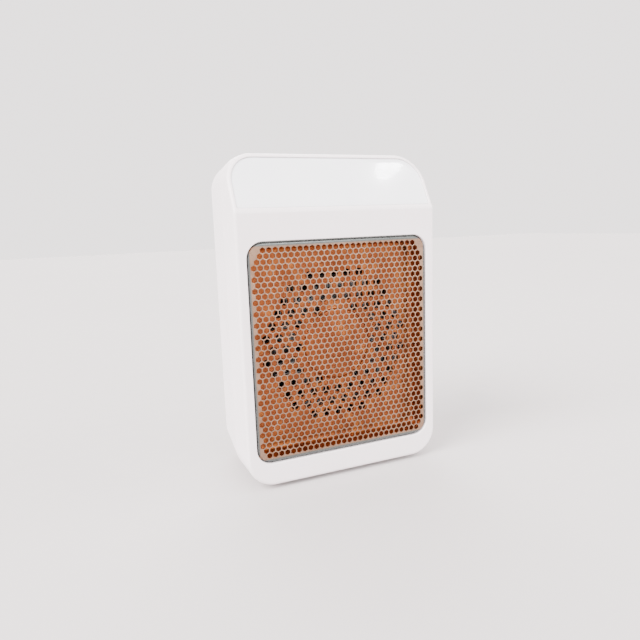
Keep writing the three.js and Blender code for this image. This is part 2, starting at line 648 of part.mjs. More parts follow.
let powerBoard = box(-32, 32, -26.6, -25, -21, 20);
for (const [x, z] of BOARD_POSTS) powerBoard = powerBoard.subtract(roundY(1.5, -28, -24, x, z, 10));
piece('power_board', powerBoard, boardGreen);
piece('relay', box(-22, -3, -42.4, -26.9, -20, -5), relayBlue);
piece('film_capacitor', box(2, 8, -38, -26.9, -20, -4), blackPlastic);
piece('smoothing_capacitor', roundY(4, -38.5, -26.9, 15, -12, 20), blackPlastic);
piece('terminal_block', box(-24, 24, -33, -26.9, 1, 9), phenolic);

const panelBay = new THREE.Group();
panelBay.position.set(0, FRONT_Y, CREASE_Z);
panelBay.rotation.x = SLOPE_ANGLE;
heater.add(panelBay);
piece('control_board', box(-33.5, 33.5, 4, 25, -9.1, -7.5), boardGreen, panelBay);
piece('display_module', box(DISPLAY_X[0], DISPLAY_X[1], 10, 20, -7.2, -2.4), blackPlastic, panelBay);
TOUCH_X.forEach((x, k) => {
  const profile = [
    [3, -7.2], [4, -7.2], [4, -6.4], [3.6, -6], [3.6, -3.2], [4, -2.8], [4, -2.4], [3, -2.4], [3, -7.2],
  ];
  const ring = new THREE.LatheGeometry(profile.map(([r, y]) => new THREE.Vector2(r, y)), 10);
  ring.applyMatrix4(new THREE.Matrix4().makeRotationX(Math.PI / 2)).translate(x, 15, 0);
  piece(`touch_spring_${k + 1}`, solid(ring), brass, panelBay);
});

piece('switch_frame', switchFrame(), blackPlastic);
const rockerSeat = new THREE.Group();
rockerSeat.position.set(48, SWITCH_Y, SWITCH_Z);
rockerSeat.rotation.y = THREE.MathUtils.degToRad(-8);
heater.add(rockerSeat);
piece('switch_rocker', rocker(), blackPlastic, rockerSeat);

for (const [name, side] of [['left', -1], ['right', 1]]) {
  piece(`wall_bumper_${name}`, roundY(5, BACK_Y - 0.7, -1.2, side * BUMPER_X, BUMPER_Z, 20)
    .add(roundY(5, -1.2, -0.4, side * BUMPER_X, BUMPER_Z, 20, 4.2)), rubber);
}
corners.forEach(([sx, sz], k) => {
  const z = sz < 0 ? SCREW_BOTTOM_Z : SCREW_TOP_Z;
  piece(`housing_screw_${k + 1}`, screwAt(sx * SCREW_X, z, -23.7, -46, 2.8, 1.4), zinc);
});
corners.forEach(([sx, sz], k) => {
  const z = WINDOW_Z + sz * FAN_SCREW;
  piece(`fan_screw_${k + 1}`, screwAt(sx * FAN_SCREW, z, DUCT_Y - GAP, -20, 2.6, 1.2), zinc);
});
for (const [name, side] of [['left', -1], ['right', 1]]) {
  piece(`retainer_screw_${name}`, screwAt(side * RETAINER_SCREW_X, 0, -10.2, -5, 2.4, 1.1), zinc);
}
[[-27, -17], [27, 16]].forEach(([x, z], k) => {
  piece(`board_screw_${k + 1}`, screwAt(x, z, -26.9, -17, 2.4, 1), zinc);
});
for (const [name, side] of [['red', 1], ['black', -1]]) {
  const path = [[4, -8, WINDOW_Z + 12.5], [4, -8, -45], [5, -10, -32], [6, -23, -25]];
  piece(`motor_lead_${name}`, tube(path.map(([x, y, z]) => [side * x, y, z]), 0.8), rubber);
}

export default heater;
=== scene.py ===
"""A plug-in ceramic wall heater. Shapes are worked out in millimetres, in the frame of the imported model."""
import json
import math
from collections import Counter

import bpy
import bmesh
from mathutils import Matrix, Vector
from mathutils.geometry import tessellate_polygon


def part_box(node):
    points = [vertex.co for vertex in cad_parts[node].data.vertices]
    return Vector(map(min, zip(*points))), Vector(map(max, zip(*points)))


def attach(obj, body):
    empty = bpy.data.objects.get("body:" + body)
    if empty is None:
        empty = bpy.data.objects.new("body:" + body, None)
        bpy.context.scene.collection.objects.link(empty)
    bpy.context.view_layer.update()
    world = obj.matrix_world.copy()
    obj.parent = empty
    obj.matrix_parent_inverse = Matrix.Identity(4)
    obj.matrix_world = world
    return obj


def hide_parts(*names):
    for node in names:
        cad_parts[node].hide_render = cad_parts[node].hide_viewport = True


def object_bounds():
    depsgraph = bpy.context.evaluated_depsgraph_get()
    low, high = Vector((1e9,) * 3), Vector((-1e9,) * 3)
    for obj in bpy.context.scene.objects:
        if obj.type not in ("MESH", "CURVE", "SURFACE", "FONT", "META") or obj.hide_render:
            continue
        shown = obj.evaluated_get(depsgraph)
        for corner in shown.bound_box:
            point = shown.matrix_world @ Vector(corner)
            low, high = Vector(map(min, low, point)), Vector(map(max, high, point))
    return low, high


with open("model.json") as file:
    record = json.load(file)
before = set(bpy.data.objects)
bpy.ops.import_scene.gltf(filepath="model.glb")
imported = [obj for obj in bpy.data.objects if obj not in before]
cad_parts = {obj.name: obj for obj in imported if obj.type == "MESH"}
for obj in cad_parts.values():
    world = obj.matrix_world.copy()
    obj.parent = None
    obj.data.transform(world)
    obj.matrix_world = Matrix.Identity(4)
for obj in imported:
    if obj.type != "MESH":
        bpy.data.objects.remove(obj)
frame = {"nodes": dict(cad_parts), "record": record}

MM = 0.001
cad_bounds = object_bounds()


def span(node):
    """Lowest and highest corner of a CAD node, in millimetres."""
    low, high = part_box(node)
    return low / MM, high / MM


# ---- camera ----
YAW, PITCH, ROLL = (math.radians(a) for a in (23.18, 9.58, -2.03))
CAMERA_PLACE = (-0.1218, -0.3139, -0.0080)
CAMERA_LENS, CAMERA_SENSOR = 32.37, 36
forward = Vector((math.sin(YAW) * math.cos(PITCH), math.cos(YAW) * math.cos(PITCH), -math.sin(PITCH)))
sideways = Vector((math.cos(YAW), -math.sin(YAW), 0))
upright = sideways.cross(forward)
right = sideways * math.cos(ROLL) + upright * math.sin(ROLL)
up = upright * math.cos(ROLL) - sideways * math.sin(ROLL)
camera = bpy.data.objects.new("camera", bpy.data.cameras.new("camera"))
camera.data.lens = CAMERA_LENS
camera.data.sensor_width = CAMERA_SENSOR
camera.matrix_world = Matrix.Translation(CAMERA_PLACE) @ Matrix((right, up, -forward)).transposed().to_4x4()
bpy.context.scene.collection.objects.link(camera)
bpy.context.scene.camera = camera


# ---- materials ----
class Shader:
    """A Principled material that is built up with noise, bump and colour variation."""

    def __init__(self, name, color, roughness, metallic=0.0):
        self.material = bpy.data.materials.new(name)
        self.material.use_nodes = True
        self.nodes = self.material.node_tree.nodes
        self.links = self.material.node_tree.links
        self.bsdf = self.nodes["Principled BSDF"]
        self.set("Base Color", (*color, 1))
        self.set("Roughness", roughness)
        self.set("Metallic", metallic)
        self.place = self.nodes.new("ShaderNodeTexCoord").outputs["Object"]
        self.color = color
        self.height = None

    def set(self, socket, value):
        """Gives one of the shader's inputs a fixed value."""
        self.bsdf.inputs[socket].default_value = value

    def noise(self, size, detail=2.0, stretch=None):
        """Noise whose features are about size millimetres across."""
        node = self.nodes.new("ShaderNodeTexNoise")
        node.inputs["Scale"].default_value = 1 / (size * MM)
        node.inputs["Detail"].default_value = detail
        place = self.place
        if stretch:
            mapping = self.nodes.new("ShaderNodeMapping")
            mapping.inputs["Scale"].default_value = stretch
            self.links.new(place, mapping.inputs["Vector"])
            place = mapping.outputs["Vector"]
        self.links.new(place, node.inputs["Vector"])
        return node.outputs["Fac"]

    def spread(self, value, low, high, start=0.35, end=0.65):
        """Stretches a value's range from start to end over low to high. Noise mostly keeps to 0.35 to 0.65."""
        node = self.nodes.new("ShaderNodeMapRange")
        node.inputs["From Min"].default_value = start
        node.inputs["From Max"].default_value = end
        node.inputs["To Min"].default_value = low
        node.inputs["To Max"].default_value = high
        self.links.new(value, node.inputs["Value"])
        return node.outputs["Result"]

    def rough(self, low, high, size, detail=2.0, stretch=None):
        """The roughness wanders between low and high."""
        self.links.new(self.spread(self.noise(size, detail, stretch), low, high), self.bsdf.inputs["Roughness"])
        return self

    def vary(self, other, size, detail=2.0, stretch=None, start=0.35, end=0.65):
        """The colour drifts towards another one."""
        return self.mix(self.spread(self.noise(size, detail, stretch), 0, 1, start, end), other)

    def mix(self, factor, other):
        """Blends another colour over the present one."""
        mix = self.nodes.new("ShaderNodeMix")
        mix.data_type = "RGBA"
        source = self.bsdf.inputs["Base Color"]
        if source.is_linked:
            self.links.new(source.links[0].from_socket, mix.inputs["A"])
        else:
            mix.inputs["A"].default_value = (*self.color, 1)
        mix.inputs["B"].default_value = (*other, 1)
        self.links.new(factor, mix.inputs["Factor"])
        self.links.new(mix.outputs["Result"], source)
        return self

    def beyond(self, centre, half, other):
        """Another colour outside an upright rectangle, given in millimetres."""
        mapping = self.nodes.new("ShaderNodeMapping")
        mapping.inputs["Scale"].default_value = (1 / (half.x * MM), 0, 1 / (half.z * MM))
        mapping.inputs["Location"].default_value = (-centre.x / half.x, 0, -centre.z / half.z)
        self.links.new(self.place, mapping.inputs["Vector"])
        size = self.nodes.new("ShaderNodeVectorMath")
        size.operation = "ABSOLUTE"
        self.links.new(mapping.outputs["Vector"], size.inputs[0])
        parts = self.nodes.new("ShaderNodeSeparateXYZ")
        self.links.new(size.outputs["Vector"], parts.inputs["Vector"])
        larger = self.nodes.new("ShaderNodeMath")
        larger.operation = "MAXIMUM"
        self.links.new(parts.outputs["X"], larger.inputs[0])
        self.links.new(parts.outputs["Z"], larger.inputs[1])
        return self.mix(self.spread(larger.outputs["Value"], 0, 1, 0.995, 1.005), other)

    def bump(self, size, depth, strength=1.0, detail=2.0, stretch=None):
        """Relief about depth millimetres deep, laid over any earlier relief."""
        node = self.nodes.new("ShaderNodeBump")
        node.inputs["Distance"].default_value = depth * MM
        node.inputs["Strength"].default_value = strength
        self.links.new(self.noise(size, detail, stretch), node.inputs["Height"])
        if self.height:
            self.links.new(self.height, node.inputs["Normal"])
        self.height = node.outputs["Normal"]
        self.links.new(self.height, self.bsdf.inputs["Normal"])
        return self


# one function for each material slot of the record, under the slot's own name
def white_shell():
    s = Shader("white_shell", (0.87, 0.805, 0.82), 0.34)
    s.vary((0.85, 0.785, 0.795), 45, 3).rough(0.28, 0.42, 6, 3)
    s.bump(30, 0.05, 0.5).bump(0.35, 0.008, 0.5, 3)
    return s.material


def white_inner():
    s = Shader("white_inner", (0.72, 0.70, 0.69), 0.55)
    s.vary((0.66, 0.64, 0.62), 20, 3).rough(0.48, 0.62, 3).bump(0.5, 0.02, 0.5, 3)
    return s.material


def white_gloss():
    s = Shader("white_gloss", (0.86, 0.87, 0.89), 0.1)
    s.vary((0.835, 0.85, 0.88), 30).rough(0.08, 0.18, 12, 5).bump(26, 0.02, 0.15)
    s.set("Coat Weight", 0.5)
    s.set("Coat Roughness", 0.04)
    return s.material


def satin_steel():
    """The outlet mesh. The warm tone over the field of holes is painted reflection of the orange tray behind
    it; the rim round it is plain steel painted darker and cooler, as painted shade under the bezel.
    """
    rim_width = Vector((3.15, 0, 3.7))
    low, high = span("grille_mesh")
    # painted reflection: the warm base and its darker warm patches stand for orange light from the tray behind
    # the holes
    s = Shader("satin_steel", (0.30, 0.195, 0.135), 0.3, 1.0)
    s.vary((0.23, 0.145, 0.10), 9, 3).rough(0.22, 0.40, 1.6, 4)
    s.bump(0.5, 0.01, 0.4, 2, (1, 1, 0.15))
    # painted shade: the rim band outside the field gets a darker, cooler steel where the bezel shades the
    # shoulder
    s.beyond((low + high) / 2, (high - low) / 2 - rim_width, (0.125, 0.135, 0.13))
    return s.material


def copper_tray():
    # the tray's own orange, kept dark overall partly as painted shade from the mesh in front of it
    s = Shader("copper_tray", (0.29, 0.078, 0.022), 0.3, 0.85)
    s.vary((0.21, 0.055, 0.016), 14, 3).vary((0.42, 0.13, 0.03), 6, 2, None, 0.5, 0.75)
    s.rough(0.24, 0.42, 2.2, 4).bump(1.2, 0.02, 0.4, 3).bump(24, 0.3, 0.6)
    return s.material


def fin_aluminium():
    s = Shader("fin_aluminium", (0.42, 0.425, 0.43), 0.35, 1.0)
    s.vary((0.33, 0.32, 0.30), 7, 4).rough(0.28, 0.48, 1.5, 3).bump(0.7, 0.02, 0.5, 2, (0.1, 1, 1))
    return s.material


def ceramic():
    s = Shader("ceramic", (0.34, 0.28, 0.24), 0.8)
    s.vary((0.24, 0.20, 0.175), 2.5, 5).rough(0.7, 0.9, 0.8).bump(0.4, 0.05, 0.8, 5)
    return s.material


def phenolic():
    s = Shader("phenolic", (0.05, 0.03, 0.022), 0.55)
    s.vary((0.075, 0.045, 0.03), 6, 5).rough(0.5, 0.72, 1.2).bump(0.6, 0.03, 0.6, 4)
    return s.material


def steel():
    s = Shader("steel", (0.36, 0.365, 0.375), 0.32, 1.0)
    s.vary((0.28, 0.28, 0.28), 4, 4).rough(0.24, 0.44, 0.8, 4).bump(0.3, 0.01, 0.5, 3)
    return s.material


def blade_brass():
    s = Shader("blade_brass", (0.47, 0.33, 0.13), 0.26, 1.0)
    s.vary((0.36, 0.235, 0.08), 3, 5).rough(0.18, 0.38, 1.2, 4, (1, 0.12, 1))
    s.bump(0.25, 0.008, 0.5, 3, (1, 0.1, 1))
    return s.material


def black_plastic():
    s = Shader("black_plastic", (0.022, 0.022, 0.024), 0.45)
    s.vary((0.034, 0.033, 0.034), 10, 3).rough(0.36, 0.56, 1.5, 3).bump(0.3, 0.015, 0.6, 3)
    return s.material


def board():
    s = Shader("board", (0.025, 0.16, 0.06), 0.4)
    s.vary((0.06, 0.27, 0.11), 2.2, 1, (1, 1, 0.3), 0.52, 0.56).rough(0.3, 0.5, 1.5).bump(1.8, 0.03, 0.5, 1)
    return s.material


def relay_case():
    s = Shader("relay_case", (0.03, 0.13, 0.42), 0.3)
    s.vary((0.045, 0.17, 0.48), 8, 2).rough(0.24, 0.4, 2).bump(0.4, 0.01, 0.5, 3)
    return s.material


def rubber():
    s = Shader("rubber", (0.035, 0.035, 0.036), 0.85)
    s.vary((0.06, 0.058, 0.055), 3, 4).rough(0.75, 0.95, 0.8).bump(0.35, 0.03, 0.8, 4)
    return s.material


def lead_red():
    s = Shader("lead_red", (0.45, 0.02, 0.015), 0.5)
    s.vary((0.36, 0.015, 0.012), 3).rough(0.42, 0.6, 1).bump(0.4, 0.01, 0.5)
    return s.material


def lead_black():
    s = Shader("lead_black", (0.02, 0.02, 0.02), 0.5)
    s.vary((0.035, 0.034, 0.033), 3).rough(0.42, 0.6, 1).bump(0.4, 0.01, 0.5)
    return s.material


FINISHES = {maker.__name__: maker() for maker in (
    white_shell, white_inner, white_gloss, satin_steel, copper_tray, fin_aluminium, ceramic, phenolic,
    steel, blade_brass, black_plastic, board, relay_case, rubber, lead_red, lead_black)}

for entry in frame["record"]["subparts"]:
    node = frame["nodes"][entry["node"]]
    node.material_slots[0].material = FINISHES[entry["material_slot"]]


# ---- mesh building ----
class Skin:
    """Points and faces of one mesh, in millimetres."""

    def __init__(self):
        self.points = []
        self.faces = []

    def ring(self, points):
        """Adds points and returns their numbers."""
        start = len(self.points)
        self.points.extend(tuple(p) for p in points)
        return list(range(start, len(self.points)))

    def bridge(self, a, b):
        """A closed band of faces between two rings of equal length."""
        for i in range(len(a)):
            j = (i + 1) % len(a)
            self.faces.append((a[i], a[j], b[j], b[i]))

    def strips(self, rings):
        """Bands from each ring to the next."""
        for a, b in zip(rings, rings[1:]):
            self.bridge(a, b)

    def join(self, other):
        """Adds another skin's points and faces."""
        start = len(self.points)
        self.points.extend(other.points)
        self.faces.extend(tuple(i + start for i in face) for face in other.faces)

    def fill(self, outer, holes=(), flat=(0, 2)):
        """Fills a loop of points, less its holes, as seen along the axis that flat leaves out."""
        loops = [outer, *holes]
        order = [i for loop in loops for i in loop]
        u, v = flat
        flatter = [[Vector((self.points[i][u], self.points[i][v], 0)) for i in loop] for loop in loops]
        triangles = [tuple(order[i] for i in triangle) for triangle in tessellate_polygon(flatter)]
        # points in line can give two flat triangles over the same three points, and neither is wanted
        uses = Counter(frozenset(triangle) for triangle in triangles)
        self.faces.extend(triangle for triangle in triangles if uses[frozenset(triangle)] == 1)


def finished(name, mesh, material, body, nodes=(), sharp=32, facing=True):
    """Makes the object, welds and shades it, and hangs it on its body in place of the CAD nodes."""
    work = bmesh.new()
    work.from_mesh(mesh)
    bmesh.ops.remove_doubles(work, verts=work.verts, dist=1e-6)
    if facing:
        bmesh.ops.recalc_face_normals(work, faces=work.faces)
    work.to_mesh(mesh)
    work.free()
    mesh.shade_smooth()
    mesh.set_sharp_from_angle(angle=math.radians(sharp))
    mesh.materials.clear()
    mesh.materials.append(FINISHES[material])
    piece = bpy.data.objects.new(name, mesh)
    bpy.context.scene.collection.objects.link(piece)
    weighted = piece.modifiers.new("normals", "WEIGHTED_NORMAL")
    weighted.keep_sharp = True
    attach(piece, body)
    if nodes:
        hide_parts(*nodes)
    return piece


def mesh_of(skin):
    """A Blender mesh, in metres."""
    mesh = bpy.data.meshes.new("part")
    mesh.from_pydata([tuple(c * MM for c in p) for p in skin.points], [], skin.faces)
    return mesh


def cut(mesh, cutters):
    """The mesh with the cutter meshes taken away."""
    scene = bpy.context.scene.collection
    target = bpy.data.objects.new("target", mesh)
    scene.objects.link(target)
    tools = []
    for k, cutter in enumerate(cutters):
        tool = bpy.data.objects.new(f"tool_{k}", cutter)
        scene.objects.link(tool)
        tools.append(tool)
        step = target.modifiers.new(f"cut_{k}", "BOOLEAN")
        step.operation = "DIFFERENCE"
        step.solver = "EXACT"
        step.object = tool
    graph = bpy.context.evaluated_depsgraph_get()
    result = bpy.data.meshes.new_from_object(target.evaluated_get(graph))
    for used in (target, *tools):
        bpy.data.objects.remove(used)
    return result


def oriented(mesh):
    """The mesh with its points welded and its faces turned outwards, as the boolean needs."""
    work = bmesh.new()
    work.from_mesh(mesh)
    bmesh.ops.remove_doubles(work, verts=work.verts, dist=1e-7)
    bmesh.ops.recalc_face_normals(work, faces=work.faces)
    work.to_mesh(mesh)
    work.free()
    return mesh


def on_circle(x, z, radius, angle):
    """A loop's entry on a circle about (x, z)."""
    c, s = math.cos(angle), math.sin(angle)
    return x + radius * c, z + radius * s, c, s


def corner_loop(width, height, radius, centre_z=0.0, centre_x=0.0, steps=12, side_z=()):
    """(x, z, outward x, outward z) round a rounded rectangle, with extra points on its sides at side_z."""
    loop = []
    half_x, half_z = width / 2 - radius, height / 2 - radius
    for k, (x, z) in enumerate(((half_x, half_z), (-half_x, half_z), (-half_x, -half_z), (half_x, -half_z))):
        for i in range(steps + 1):
            loop.append(on_circle(centre_x + x, centre_z + z, radius, (k + i / steps) * math.pi / 2))
        if k == 1:
            loop.extend((centre_x - width / 2, height_z, -1, 0) for height_z in sorted(side_z, reverse=True))
        if k == 3:
            loop.extend((centre_x + width / 2, height_z, 1, 0) for height_z in sorted(side_z))
    return loop


def round_loop(radius, x=0.0, z=0.0, sides=48):
    """A circle, in the same form as corner_loop."""
    return [on_circle(x, z, radius, 2 * math.pi * k / sides) for k in range(sides)]


def placed(loop, y, inset=0.0):
    """The loop's points at depth y, moved inwards. y is a number or a function of x and z."""
    points = []
    for x, z, nx, nz in loop:
        px, pz = x - inset * nx, z - inset * nz
        points.append((px, y(px, pz) if callable(y) else y, pz))
    return points


def lathe(profile, x=0.0, z=0.0, sides=64):
    """A solid of revolution about an axis along Y through (x, z), from a profile of (radius, y)."""
    skin = Skin()
    rings = []
    for radius, y in profile:
        if radius == 0:
            rings.append(skin.ring([(x, y, z)]) * sides)
        else:
            rings.append(skin.ring(placed(round_loop(radius, x, z, sides), y)))
    for a, b in zip(rings, rings[1:]):
        for i in range(sides):
            j = (i + 1) % sides
            corners = []
            for corner in (a[i], a[j], b[j], b[i]):
                if corner not in corners:
                    corners.append(corner)
            if len(corners) > 2:
                skin.faces.append(tuple(corners))
    return skin


def softened(corners, radius, steps=4):
    """A profile of (a, b) corners with each inner corner rounded off."""
    out = [corners[0]]
    for before, here, after in zip(corners, corners[1:], corners[2:]):
        p, q, r = Vector(before), Vector(here), Vector(after)
        reach = min(radius, (p - q).length * 0.45, (r - q).length * 0.45)
        start, end = q + (p - q).normalized() * reach, q + (r - q).normalized() * reach
        for k in range(steps + 1):
            t = k / steps
            point = start * (1 - t) ** 2 + q * 2 * t * (1 - t) + end * t ** 2
            out.append((point.x, point.y))
    out.append(corners[-1])
    return out


def slab(loop, y0, y1, edge=0.0, steps=3):
    """A plate of the loop's outline between two depths, with rounded rims."""
    skin = Skin()
    turns = [k / steps * math.pi / 2 for k in range(steps + 1)]
    near = [skin.ring(placed(loop, y0 + edge * (1 - math.sin(t)), edge * (1 - math.cos(t)))) for t in turns]
    far = [skin.ring(placed(loop, y1 - edge * (1 - math.sin(t)), edge * (1 - math.cos(t)))) for t in turns]
    rings = near[::-1] + far
    skin.strips(rings)
    skin.fill(rings[0])
    skin.fill(rings[-1])
    return skin


# ---- the casing's own lines ----
casing_low, casing_high = span("front_bezel")
grille_low, grille_high = span("grille_mesh")
tray_low, tray_high = span("diffuser_tray")
WIDTH, HEIGHT = casing_high.x - casing_low.x, casing_high.z - casing_low.z
TOP, BOTTOM = casing_high.z, casing_low.z
MIDDLE = (TOP + BOTTOM) / 2
FRONT, SEAM, BACK = casing_low.y, casing_high.y, span("rear_housing")[1].y
SEAM_GAP = 0.3
CORNER = 14.0
WALL, FRONT_WALL = 2.2, 2.4
FRONT_EDGE, BACK_EDGE = 1.6, 2.6
# above the crease the face climbs by RISE and falls back by RECEDE; SOFT is how far the bend reaches each way
RISE, RECEDE = 27.5, 15.0
CREASE = TOP - RISE
LEAN = RECEDE / RISE
SLOPE = math.atan2(RISE, RECEDE)
SOFT = 0.9
# WINDOW is the height of the window's middle; FLANGE is how far the mesh and tray reach past its edge
FLANGE = 1.5
WINDOW = (grille_low.z + grille_high.z) / 2
WINDOW_W = grille_high.x - grille_low.x - 2 * FLANGE
WINDOW_H = grille_high.z - grille_low.z - 2 * FLANGE
WINDOW_R = 8.0
WINDOW_LIP = 0.35
PANEL_INSET, PANEL_GAP, PANEL_CORNER = 2.0, 0.06, 1.1
PANEL_BACK, PANEL_SIDE = 2.2, 0.75
# (inset, depth) of the panel's face from its rim inwards
PANEL_FACE = ((0.03, 0.62), (0.15, 0.57), (0.4, 0.53), (0.8, 0.48), (1.3, 0.43), (1.8, 0.405), (2.4, 0.4),
              (3.6, 0.4), (4.8, 0.4))
SEAT_DEPTH, SEAT_BRIM = 2.5, 0.5


def face_y(x, z):
    """The front surface: flat below the crease, leaning back above it, and rounded between."""
    t = z - CREASE
    if t <= -SOFT:
        return FRONT
    if t >= SOFT:
        return FRONT + t * LEAN
    return FRONT + LEAN * (t + SOFT) ** 2 / (4 * SOFT)


def under(depth):
    """The front surface moved back along its own normal, for points on the lean."""
    return lambda x, z: face_y(x, z) + depth / math.sin(SLOPE)


def seat_loop(inset):
    """The panel's outline as seen from the front: the casing's corners on top, small ones at the crease."""
    radius = CORNER - inset
    half = WIDTH / 2 - inset
    top = TOP - inset
    low = CREASE + inset * math.sin(SLOPE)
    small = PANEL_CORNER
    loop = []
    for k, x in enumerate((half - radius, -half + radius)):
        for i in range(17):
            loop.append(on_circle(x, top - radius, radius, (k + i / 16) * math.pi / 2))
    for k, x in ((2, -half + small), (3, half - small)):
        for i in range(7):
            loop.append(on_circle(x, low + small, small, (k + i / 6) * math.pi / 2))
    return loop


def quarter(steps, radius):
    """Steps round a rounded edge, as (drop, overhang): from beside the opening down into it."""
    turns = [k / steps * math.pi / 2 for k in range(steps + 1)]
    return [(radius * (1 - math.cos(t)), radius * (1 - math.sin(t))) for t in turns]


def fold(skin, rim, bend):
    """Crosses the front from rim to rim at each bend height. Returns the flat loops below and above them."""
    near = 1e-4

    def sides(z):
        """The rim's left and right points at one height."""
        found = [i for i in rim if abs(skin.points[i][2] - z) < near]
        found.sort(key=lambda i: skin.points[i][0])
        return found[0], found[-1]

    def from_point(loop, first):
        """The loop turned to begin at one of its points."""
        start = loop.index(first)
        return loop[start:] + loop[:start]

    pairs = [sides(z) for z in bend]
    for (left, right), (next_left, next_right) in zip(pairs, pairs[1:]):
        skin.faces.append((left, right, next_right, next_left))
    below = [i for i in rim if skin.points[i][2] <= bend[0] + near]
    above = [i for i in rim if skin.points[i][2] >= bend[-1] - near]
    return from_point(below, pairs[0][0]), from_point(above, pairs[-1][1])


def front_casing():
    """The front shell: rounded all round, bent at the crease, with the window and the panel's seat."""
    skin = Skin()
    bend = [CREASE + SOFT * k / 3 for k in range(-3, 4)]
    outline = corner_loop(WIDTH, HEIGHT, CORNER, MIDDLE, steps=16, side_z=bend)
    rings = [skin.ring(placed(outline, SEAM, 0.35)), skin.ring(placed(outline, SEAM - 0.1, 0.1)),
             skin.ring(placed(outline, SEAM - 0.35))]
    for k in range(9):
        t = (1 - k / 8) * math.pi / 2
        rings.append(skin.ring(placed(outline, lambda x, z, t=t: face_y(x, z) + FRONT_EDGE * (1 - math.cos(t)),
                                      FRONT_EDGE * (1 - math.sin(t)))))
    skin.strips(rings)
    low, high = fold(skin, rings[-1], bend)

    # the window, with a rounded rim, through to the inside
    window = corner_loop(WINDOW_W, WINDOW_H, WINDOW_R, WINDOW, steps=12)
    opening = [skin.ring(placed(window, FRONT + drop, -over)) for drop, over in quarter(4, WINDOW_LIP)]
    opening.append(skin.ring(placed(window, FRONT + FRONT_WALL)))
    skin.strips(opening)
    skin.fill(low, [opening[0]])

    # the panel's seat, sunk into the leaning face behind a soft lip
    seat = seat_loop(PANEL_INSET - PANEL_GAP)
    seat_rings = [skin.ring(placed(seat, under(drop), -over)) for drop, over in quarter(5, SEAT_BRIM)]
    seat_rings.append(skin.ring(placed(seat, under(SEAT_DEPTH))))
    skin.strips(seat_rings)
    skin.fill(seat_rings[-1])
    skin.fill(high, [seat_rings[0]])

    # the inside: a wall, and a front skin that steps back behind the panel
    step, behind = 2, 4.8

    def inner_y(x, z):
        """The inside of the front wall, flat behind the window and leaning behind the panel."""
        t = min(max((z - CREASE + step) / step, 0), 1)
        return (FRONT + FRONT_WALL) * (1 - t) + (face_y(x, z) + behind) * t

    inner_bend = [CREASE - step, CREASE - step / 2, CREASE]
    inner = corner_loop(WIDTH - 2 * WALL, HEIGHT - 2 * WALL, CORNER - WALL, MIDDLE, steps=16, side_z=inner_bend)
    wall_back = skin.ring(placed(inner, SEAM))
    wall_front = skin.ring(placed(inner, inner_y))
    skin.bridge(wall_back, wall_front)
    low_inside, high_inside = fold(skin, wall_front, inner_bend)
    skin.fill(low_inside, [opening[-1]])
    skin.fill(high_inside)
    skin.fill(rings[0], [wall_back])
    return skin


def gloss_panel():
    """The panel: a plate on the lean whose face dishes down to its rim, below the casing's lip."""
    loop = seat_loop(PANEL_INSET)
    skin = Skin()
    rings = [skin.ring(placed(loop, under(PANEL_BACK))), skin.ring(placed(loop, under(PANEL_SIDE)))]
    for inset, depth in PANEL_FACE:
        rings.append(skin.ring(placed(seat_loop(PANEL_INSET + inset), under(depth))))
    skin.strips(rings)
    skin.fill(rings[0])
    skin.fill(rings[-1])
    return skin


# ---- the outlet mesh ----
CELL = 3.1
WIRE = 0.58
MESH_COLUMNS, MESH_ROWS = 30, 38
SHEET, SHOULDER, HOLE_BEVEL = 0.6, 0.8, 0.15
MESH_GAP = 0.65
HEXAGON = [(k + 0.5) * math.pi / 3 for k in range(6)]


